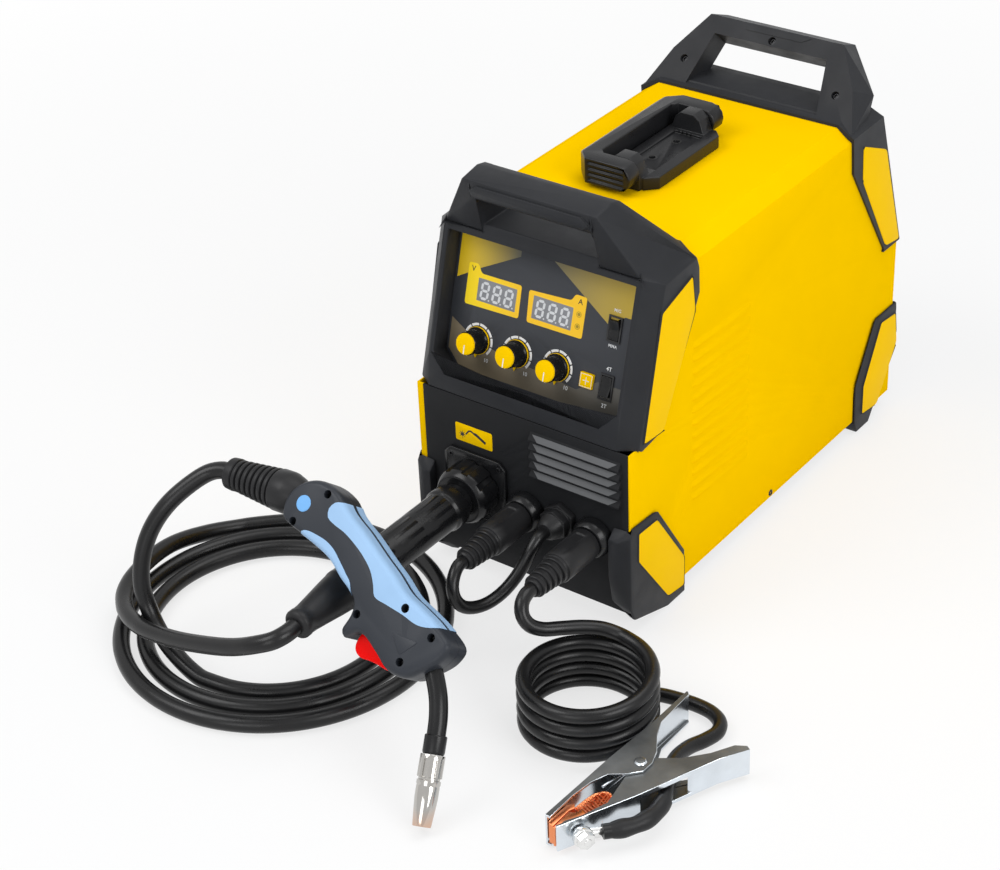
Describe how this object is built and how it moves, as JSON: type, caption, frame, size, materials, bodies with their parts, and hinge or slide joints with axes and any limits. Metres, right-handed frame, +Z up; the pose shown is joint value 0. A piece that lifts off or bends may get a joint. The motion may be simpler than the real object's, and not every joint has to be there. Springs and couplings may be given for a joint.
{
  "type": "mig welding machine",
  "caption": "Portable wire-feed welding power source with carry handles, hinged wire door, torch and earth clamp on their leads, polarity lead, sloping control panel and louvred sides.",
  "frame": {"origin": "bottom centre of the box round the machine, the torch and the earth clamp, on the ground; the leads are left out of that box", "axes": "+Z up, the control panel faces -Y, +X to the right seen from the front"},
  "size_m": [0.5488, 0.7223, 0.3578],
  "materials": {
    "yellow_paint": "fine powder coat, satin",
    "yellow_plastic": "satin moulded plastic",
    "black_plastic": "fine grained, matte",
    "connector_plastic": "satin moulded plastic",
    "black_sheet": "fine textured powder coat",
    "display_print": "printed film, semi gloss",
    "grey_sheet": "zinc coated sheet",
    "rubber": "matte, slightly dusty",
    "torch_plastic": "satin moulded plastic with soft pads",
    "red_plastic": "gloss moulded plastic",
    "plated_steel": "zinc plated sheet",
    "nozzle_metal": "nickel plated copper",
    "copper": "bare copper",
    "wound_wire": "copper coated steel wire",
    "circuit_board": "green solder mask",
    "heat_sink": "extruded fins"
  },
  "bodies": {
    "machine": {"main_cover": "yellow_paint", "front_bezel": "black_plastic", "rear_bezel": "black_plastic", "front_foot_left": "black_plastic", "front_foot_right": "black_plastic", "rear_foot_left": "black_plastic", "rear_foot_right": "black_plastic", "lift_handle_base": "black_plastic", "fan_housing": "black_plastic", "spool_hub": "black_plastic", "euro_socket": "connector_plastic", "euro_plug_nut": "connector_plastic", "euro_plug_body": "connector_plastic", "positive_socket": "connector_plastic", "negative_socket": "connector_plastic", "cable_gland": "connector_plastic", "mains_gland": "connector_plastic", "swan_neck": "connector_plastic", "front_panel": "black_sheet", "rear_panel": "black_sheet", "display_panel": "display_print", "base_chassis": "grey_sheet", "feed_unit": "grey_sheet", "euro_plug_boot": "rubber", "torch_boot": "rubber", "polarity_plug": "rubber", "earth_plug": "rubber", "torch_cable_lead": "rubber", "torch_cable_coil": "rubber", "torch_cable_tail": "rubber", "polarity_cable": "rubber", "earth_cable_lead": "rubber", "earth_cable_coil": "rubber", "earth_cable_tail": "rubber", "torch_shell_left": "torch_plastic", "torch_shell_right": "torch_plastic", "clamp_lower_jaw": "plated_steel", "clamp_bolt": "plated_steel", "gas_inlet": "plated_steel", "gas_nozzle": "nozzle_metal", "clamp_contact_lower": "copper", "control_board": "circuit_board", "power_board": "heat_sink"},
    "knob_voltage_body": {"knob_voltage": "yellow_plastic"},
    "knob_current_body": {"knob_current": "yellow_plastic"},
    "knob_inductance_body": {"knob_inductance": "yellow_plastic"},
    "process_rocker_body": {"process_rocker": "black_plastic"},
    "trigger_mode_rocker_body": {"trigger_mode_rocker": "black_plastic"},
    "wire_feed_button_body": {"wire_feed_button": "yellow_plastic"},
    "lift_handle_body": {"lift_handle": "black_plastic"},
    "spool_door_body": {"spool_door": "yellow_paint"},
    "torch_trigger_body": {"torch_trigger": "red_plastic"},
    "clamp_upper": {"clamp_upper_jaw": "plated_steel", "clamp_contact_upper": "copper", "clamp_spring": "plated_steel"},
    "fan_rotor_body": {"fan_rotor": "black_plastic"},
    "wire_spool_body": {"wire_spool": "wound_wire"},
    "drive_roll_body": {"drive_roll": "plated_steel"},
    "pressure_arm_body": {"pressure_arm": "plated_steel"},
    "power_rocker_body": {"power_rocker": "black_plastic"}
  },
  "joints": [
    {"name": "voltage_turn", "type": "hinge", "parent": "machine", "child": "knob_voltage_body", "pos_m": [-0.10976, -0.05437, 0.2097], "axis": [0, -0.9617, 0.274], "range_deg": [-150, 150]},
    {"name": "current_turn", "type": "hinge", "parent": "machine", "child": "knob_current_body", "pos_m": [-0.07176, -0.05437, 0.2097], "axis": [0, -0.9617, 0.274], "range_deg": [-150, 150]},
    {"name": "inductance_turn", "type": "hinge", "parent": "machine", "child": "knob_inductance_body", "pos_m": [-0.03326, -0.05437, 0.2097], "axis": [0, -0.9617, 0.274], "range_deg": [-150, 150]},
    {"name": "process_switch", "type": "hinge", "parent": "machine", "child": "process_rocker_body", "pos_m": [0.01264, -0.03984, 0.2512], "axis": [-1, 0, 0], "range_deg": [0, 18]},
    {"name": "trigger_mode_switch", "type": "hinge", "parent": "machine", "child": "trigger_mode_rocker_body", "pos_m": [0.01264, -0.05266, 0.20619], "axis": [1, 0, 0], "range_deg": [0, 18]},
    {"name": "wire_feed_press", "type": "slide", "parent": "machine", "child": "wire_feed_button_body", "axis": [0, 0.9617, -0.274], "range_m": [0, 0.0012], "stiffness_N_per_m": 500, "springref_m": -0.001},
    {"name": "lift_handle_fold", "type": "hinge", "parent": "machine", "child": "lift_handle_body", "pos_m": [-0.04776, 0.12212, 0.3222], "axis": [0, 1, 0], "range_deg": [0, 110]},
    {"name": "spool_door_open", "type": "hinge", "parent": "machine", "child": "spool_door_body", "pos_m": [-0.15696, 0.13212, 0.0156], "axis": [0, -1, 0], "range_deg": [0, 90]},
    {"name": "torch_trigger_pull", "type": "hinge", "parent": "machine", "child": "torch_trigger_body", "pos_m": [-0.01716, -0.29136, 0.08231], "axis": [0, 0.7672, -0.6414], "range_deg": [0, 6], "stiffness_Nm_per_rad": 0.6, "springref_deg": -5.73},
    {"name": "clamp_open", "type": "hinge", "parent": "machine", "child": "clamp_upper", "pos_m": [0.15924, -0.23188, 0.0156], "axis": [0, 0, -1], "range_deg": [0, 12], "stiffness_Nm_per_rad": 4, "springref_deg": -17.19},
    {"name": "fan_spin", "type": "hinge", "parent": "machine", "child": "fan_rotor_body", "pos_m": [-0.01176, 0.32912, 0.092], "axis": [0, 1, 0], "continuous": true},
    {"name": "spool_turn", "type": "hinge", "parent": "machine", "child": "wire_spool_body", "pos_m": [-0.11676, 0.14412, 0.16], "axis": [1, 0, 0], "continuous": true},
    {"name": "drive_roll_turn", "type": "hinge", "parent": "machine", "child": "drive_roll_body", "pos_m": [-0.09626, -0.02088, 0.0775], "axis": [1, 0, 0], "continuous": true},
    {"name": "pressure_arm_lift", "type": "hinge", "parent": "machine", "child": "pressure_arm_body", "pos_m": [-0.09626, 0.00912, 0.111], "axis": [-1, 0, 0], "range_deg": [0, 50]},
    {"name": "mains_switch", "type": "hinge", "parent": "machine", "child": "power_rocker_body", "pos_m": [-0.11776, 0.33982, 0.13], "axis": [1, 0, 0], "range_deg": [0, 18]}
  ],
  "couplings": [
    {"joint": "drive_roll_turn", "follows": "spool_turn", "ratio": -5.6}
  ]
}
